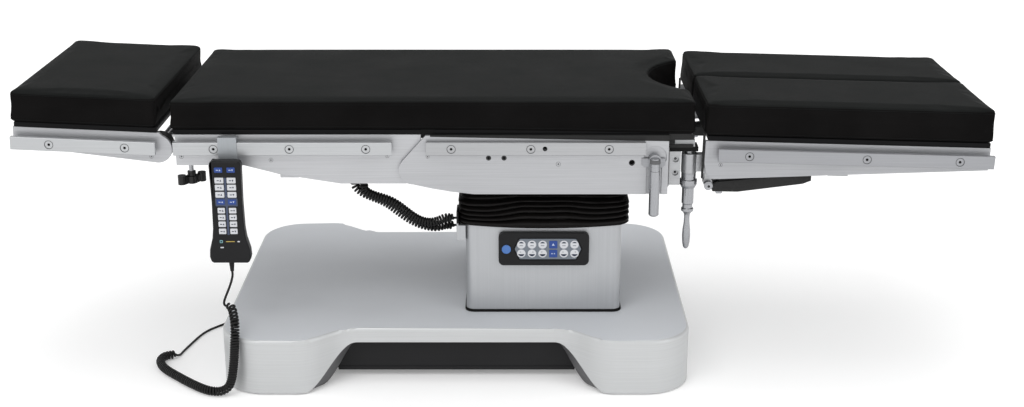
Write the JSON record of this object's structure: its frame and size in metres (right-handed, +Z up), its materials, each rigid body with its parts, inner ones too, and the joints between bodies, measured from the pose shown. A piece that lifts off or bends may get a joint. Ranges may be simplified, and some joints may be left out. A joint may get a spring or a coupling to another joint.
{
  "type": "electric operating table",
  "caption": "Electric operating table: two-stage lift column on a lobed base, tilting top with head, back, seat and split leg sections, rails and hand control.",
  "frame": {"origin": "on the floor, under the middle of the table's length and width", "axes": "+X along the table towards the leg end, +Z up, -Y the side with the control panel"},
  "size_m": [2.0897, 0.7706, 0.638],
  "materials": {
    "cover_grey": "satin",
    "cover_cream": "satin",
    "black_steel": "satin",
    "rubber_black": "matte",
    "pump_grey": "satin",
    "mast_steel": "satin",
    "panel_black": "gloss",
    "foil_silver": "satin",
    "button_blue": "gloss",
    "frame_steel": "satin",
    "board_black": "matte",
    "pad_black": "satin",
    "plate_alu": "satin",
    "rail_steel": "satin",
    "handset_dark": "satin",
    "keys_white": "satin"
  },
  "bodies": {
    "base": {"base_cover": "cover_grey", "chassis": "black_steel", "floor_feet": "rubber_black", "power_pack": "pump_grey", "outer_mast": "mast_steel", "column_cover": "cover_cream", "panel_frame": "panel_black", "panel_foil": "foil_silver", "bellows": "rubber_black", "cord_entries": "rubber_black", "handset_lead": "rubber_black", "handset_coil": "rubber_black", "handset_tail": "rubber_black", "back_cord_1": "rubber_black", "back_cord_2": "rubber_black"},
    "power_button": {"power_button": "button_blue"},
    "mid_stage": {"middle_mast": "mast_steel"},
    "top_stage": {"inner_mast": "mast_steel"},
    "cross": {"tilt_cross": "mast_steel"},
    "seat": {"seat_frame": "frame_steel", "seat_board": "board_black", "seat_pad": "pad_black", "pad_fold": "pad_black", "seat_plates": "plate_alu", "seat_rails": "rail_steel", "leg_mounts": "frame_steel"},
    "lock_lever_near": {"lock_lever_near": "rail_steel"},
    "lock_lever_far": {"lock_lever_far": "rail_steel"},
    "back": {"back_frame": "frame_steel", "back_plates": "plate_alu", "back_board": "board_black", "back_pad": "pad_black", "back_rails": "rail_steel", "rail_clip": "rail_steel", "junction_box": "panel_black"},
    "head_knob_near": {"head_knob_near": "panel_black"},
    "head_knob_far": {"head_knob_far": "panel_black"},
    "head_carrier": {"head_prongs": "frame_steel"},
    "head": {"head_plates": "plate_alu", "head_board": "board_black", "head_pad": "pad_black", "head_rails": "rail_steel"},
    "hand_control": {"handset": "handset_dark", "handset_keys": "keys_white"},
    "leg_swivel_near": {"leg_swivel_near": "frame_steel"},
    "clamp_handle_near": {"clamp_handle_near": "rail_steel"},
    "leg_near": {"leg_plate_near": "plate_alu", "leg_board_near": "board_black", "leg_pad_near": "pad_black", "leg_rail_near": "rail_steel"},
    "strut_barrel_near": {"strut_barrel_near": "panel_black"},
    "strut_rod_near": {"strut_rod_near": "rail_steel"},
    "leg_swivel_far": {"leg_swivel_far": "frame_steel"},
    "clamp_handle_far": {"clamp_handle_far": "rail_steel"},
    "leg_far": {"leg_plate_far": "plate_alu", "leg_board_far": "board_black", "leg_pad_far": "pad_black", "leg_rail_far": "rail_steel"},
    "strut_barrel_far": {"strut_barrel_far": "panel_black"},
    "strut_rod_far": {"strut_rod_far": "rail_steel"}
  },
  "joints": [
    {"name": "lift", "type": "slide", "parent": "base", "child": "top_stage", "axis": [0, 0, 1], "range_m": [0, 0.3], "deforming": ["bellows", "back_cord_1", "back_cord_2"]},
    {"name": "lift_middle", "type": "slide", "parent": "base", "child": "mid_stage", "axis": [0, 0, 1], "range_m": [0, 0.15]},
    {"name": "power", "type": "slide", "parent": "base", "child": "power_button", "axis": [0, 1, 0], "range_m": [0, 0.002], "stiffness_N_per_m": 400, "springref_m": -0.002},
    {"name": "trendelenburg", "type": "hinge", "parent": "top_stage", "child": "cross", "pos_m": [0.088, 0, 0.48], "axis": [0, -1, 0], "range_deg": [-22, 22]},
    {"name": "lateral_tilt", "type": "hinge", "parent": "cross", "child": "seat", "pos_m": [0.088, 0, 0.48], "axis": [1, 0, 0], "range_deg": [-15, 15]},
    {"name": "back", "type": "hinge", "parent": "seat", "child": "back", "pos_m": [-0.158, 0, 0.55], "axis": [0, 1, 0], "range_deg": [-25, 70], "deforming": ["pad_fold"]},
    {"name": "head_slide", "type": "slide", "parent": "back", "child": "head_carrier", "axis": [-1, 0, 0], "range_m": [0, 0.12]},
    {"name": "head_tilt", "type": "hinge", "parent": "head_carrier", "child": "head", "pos_m": [-0.735, 0, 0.516], "axis": [0, 1, 0], "range_deg": [-80, 12]},
    {"name": "head_knob_near", "type": "hinge", "parent": "back", "child": "head_knob_near", "pos_m": [-0.672, -0.218, 0.46], "axis": [0, 0, 1], "continuous": true},
    {"name": "lock_lever_near", "type": "hinge", "parent": "seat", "child": "lock_lever_near", "pos_m": [0.326, -0.262, 0.497], "axis": [0, 1, 0], "range_deg": [0, 75]},
    {"name": "leg_swivel_near", "type": "hinge", "parent": "seat", "child": "leg_swivel_near", "pos_m": [0.405, -0.215, 0.48], "axis": [0, 0, 1], "range_deg": [-45, 0]},
    {"name": "clamp_handle_near", "type": "hinge", "parent": "seat", "child": "clamp_handle_near", "pos_m": [0.405, -0.215, 0.4], "axis": [0, 0, 1], "range_deg": [0, 150]},
    {"name": "leg_tilt_near", "type": "hinge", "parent": "leg_swivel_near", "child": "leg_near", "pos_m": [0.446, -0.215, 0.492], "axis": [0, 1, 0], "range_deg": [-6, 45]},
    {"name": "strut_turn_near", "type": "hinge", "parent": "leg_swivel_near", "child": "strut_barrel_near", "pos_m": [0.446, -0.215, 0.434], "axis": [0, 1, 0], "range_deg": [-8, 50]},
    {"name": "strut_slide_near", "type": "slide", "parent": "strut_barrel_near", "child": "strut_rod_near", "axis": [0.9942, 0, 0.1075], "range_m": [-0.045, 0.008]},
    {"name": "head_knob_far", "type": "hinge", "parent": "back", "child": "head_knob_far", "pos_m": [-0.672, 0.218, 0.46], "axis": [0, 0, 1], "continuous": true},
    {"name": "lock_lever_far", "type": "hinge", "parent": "seat", "child": "lock_lever_far", "pos_m": [0.326, 0.262, 0.497], "axis": [0, 1, 0], "range_deg": [0, 75]},
    {"name": "leg_swivel_far", "type": "hinge", "parent": "seat", "child": "leg_swivel_far", "pos_m": [0.405, 0.215, 0.48], "axis": [0, 0, -1], "range_deg": [-45, 0]},
    {"name": "clamp_handle_far", "type": "hinge", "parent": "seat", "child": "clamp_handle_far", "pos_m": [0.405, 0.215, 0.4], "axis": [0, 0, 1], "range_deg": [0, 150]},
    {"name": "leg_tilt_far", "type": "hinge", "parent": "leg_swivel_far", "child": "leg_far", "pos_m": [0.446, 0.215, 0.492], "axis": [0, 1, 0], "range_deg": [-6, 45]},
    {"name": "strut_turn_far", "type": "hinge", "parent": "leg_swivel_far", "child": "strut_barrel_far", "pos_m": [0.446, 0.215, 0.434], "axis": [0, 1, 0], "range_deg": [-8, 50]},
    {"name": "strut_slide_far", "type": "slide", "parent": "strut_barrel_far", "child": "strut_rod_far", "axis": [0.9942, 0, 0.1075], "range_m": [-0.045, 0.008]},
    {"name": "hand_control_off", "type": "slide", "parent": "base", "child": "hand_control", "axis": [0, -1, 0], "range_m": [0, 0.1]}
  ],
  "couplings": [
    {"joint": "lift_middle", "follows": "lift", "ratio": 0.5},
    {"joint": "strut_turn_near", "follows": "leg_tilt_near", "ratio": 1.045},
    {"joint": "strut_slide_near", "follows": "leg_tilt_near", "m_per_rad": -0.054},
    {"joint": "strut_turn_far", "follows": "leg_tilt_far", "ratio": 1.045},
    {"joint": "strut_slide_far", "follows": "leg_tilt_far", "m_per_rad": -0.054}
  ]
}
